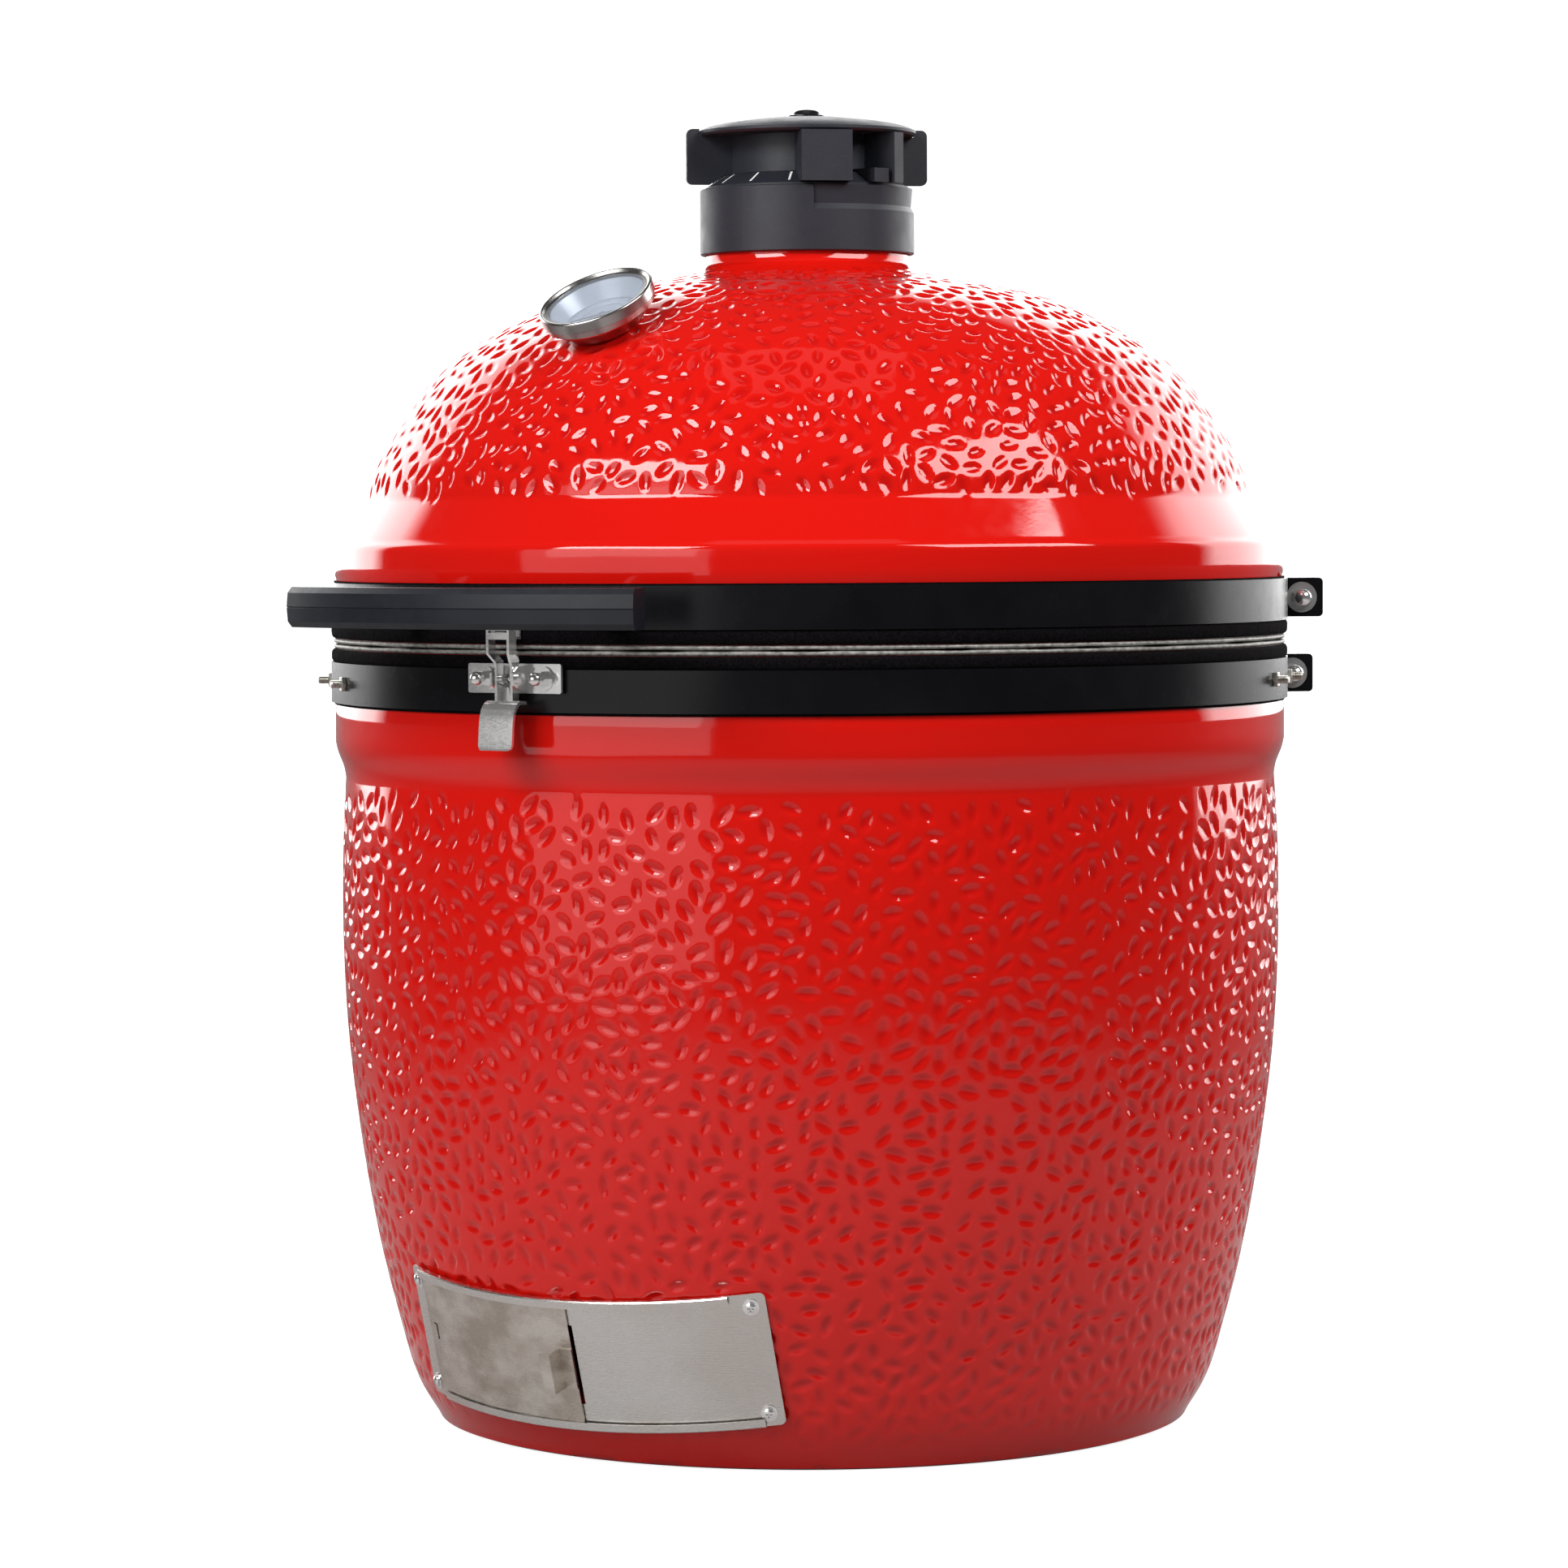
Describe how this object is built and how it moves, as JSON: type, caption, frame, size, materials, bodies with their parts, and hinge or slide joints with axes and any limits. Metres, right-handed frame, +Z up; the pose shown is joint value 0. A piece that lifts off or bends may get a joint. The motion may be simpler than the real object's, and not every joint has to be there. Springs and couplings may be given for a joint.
{
  "type": "kamado ceramic grill",
  "caption": "Egg-shaped glazed ceramic charcoal grill with a hinged domed lid, top vent tower, dome thermometer, latch and sliding draft door.",
  "frame": {"origin": "centre of the bowl's flat foot, on the axis of the ceramic shells", "axes": "+Z up along the shells' axis, -Y to the front where the handle, latch and draft door are, +X to the right seen from the front"},
  "size_m": [0.693, 0.822, 0.945],
  "materials": {
    "red_glaze": "gloss glaze",
    "raw_ceramic": "matt fired clay",
    "black_band": "semi-gloss powder coat",
    "felt": "dense felt",
    "mesh_seal": "woven wire-mesh sleeve",
    "polished_steel": "polished stainless",
    "brushed_steel": "brushed stainless",
    "zinc_steel": "plated fasteners",
    "handle_plastic": "satin moulded",
    "cast_vent": "fine textured powder coat on cast aluminium",
    "gloss_button": "gloss",
    "cast_iron": "as cast",
    "spring_steel": "plain wire",
    "gauge_glass": "clear",
    "gauge_face": "satin white",
    "gauge_needle": "satin"
  },
  "bodies": {
    "base": {"base_shell": "red_glaze", "lower_felt": "felt", "lower_gasket": "mesh_seal", "lower_band_front": "black_band", "lower_band_rear": "black_band", "lower_clamp_bolts": "polished_steel", "shelf_studs": "zinc_steel", "latch_plate": "polished_steel", "latch_pin": "polished_steel", "latch_nuts": "polished_steel", "latch_spring": "spring_steel", "draft_frame": "brushed_steel", "draft_screws": "polished_steel", "hinge_lower_bracket": "black_band", "hinge_pin": "polished_steel", "hinge_springs": "spring_steel", "hinge_lower_bolts": "polished_steel", "firebox": "raw_ceramic", "fire_ring": "raw_ceramic", "charcoal_grate": "cast_iron", "grate_rack": "brushed_steel", "deflector_left": "raw_ceramic", "deflector_right": "raw_ceramic"},
    "lid": {"lid_shell": "red_glaze", "upper_felt": "felt", "upper_gasket": "mesh_seal", "upper_band_front": "black_band", "upper_band_rear": "black_band", "upper_clamp_bolts": "polished_steel", "lid_handle": "handle_plastic", "handle_posts": "handle_plastic", "latch_catch": "polished_steel", "thermometer_cup": "brushed_steel", "thermometer_bezel": "brushed_steel", "thermometer_lens": "gauge_glass", "thermometer_dial": "gauge_face", "thermometer_stem": "brushed_steel", "thermometer_nut": "zinc_steel", "hinge_upper_bracket": "black_band", "hinge_upper_bolts": "polished_steel", "vent_collar": "cast_vent", "vent_set_screws": "zinc_steel", "vent_hinge_pin": "zinc_steel"},
    "latch_lever": {"latch_lever": "polished_steel"},
    "draft_door": {"draft_door": "brushed_steel"},
    "vent_flap": {"vent_drum": "cast_vent", "vent_spindle": "zinc_steel", "vent_button": "gloss_button"},
    "vent_dial": {"vent_dial": "cast_vent", "vent_cap": "cast_vent"},
    "thermometer_needle": {"thermometer_needle": "gauge_needle"},
    "grate_left": {"cooking_grate_left": "brushed_steel"},
    "grate_right": {"cooking_grate_right": "brushed_steel"}
  },
  "joints": [
    {"name": "lid_hinge", "type": "hinge", "parent": "base", "child": "lid", "pos_m": [0, 0.385, 0.561], "axis": [-1, 0, 0], "range_deg": [0, 75]},
    {"name": "latch_rock", "type": "hinge", "parent": "base", "child": "latch_lever", "pos_m": [0.01061, -0.35734, 0.542], "axis": [0.9996, 0.0297, 0], "range_deg": [0, 14], "stiffness_Nm_per_rad": 0.1, "springref_deg": -17.19},
    {"name": "draft_slide", "type": "hinge", "parent": "base", "child": "draft_door", "pos_m": [0, -0.00106, 0.15238], "axis": [0, -0.2588, 0.9659], "range_deg": [0, 22]},
    {"name": "vent_flap_hinge", "type": "hinge", "parent": "lid", "child": "vent_flap", "pos_m": [0, 0.0855, 0.884], "axis": [-1, 0, 0], "range_deg": [0, 95]},
    {"name": "vent_dial_turn", "type": "hinge", "parent": "vent_flap", "child": "vent_dial", "pos_m": [0, 0, 0.9], "axis": [0, 0, 1], "range_deg": [0, 45]},
    {"name": "needle_turn", "type": "hinge", "parent": "lid", "child": "thermometer_needle", "pos_m": [0, -0.23872, 0.79051], "axis": [0, 0.515, -0.8572], "range_deg": [0, 236]},
    {"name": "grate_left_lift", "type": "slide", "parent": "base", "child": "grate_left", "axis": [0, 0, 1], "range_m": [0, 0.06]},
    {"name": "grate_right_lift", "type": "slide", "parent": "base", "child": "grate_right", "axis": [0, 0, 1], "range_m": [0, 0.06]}
  ]
}
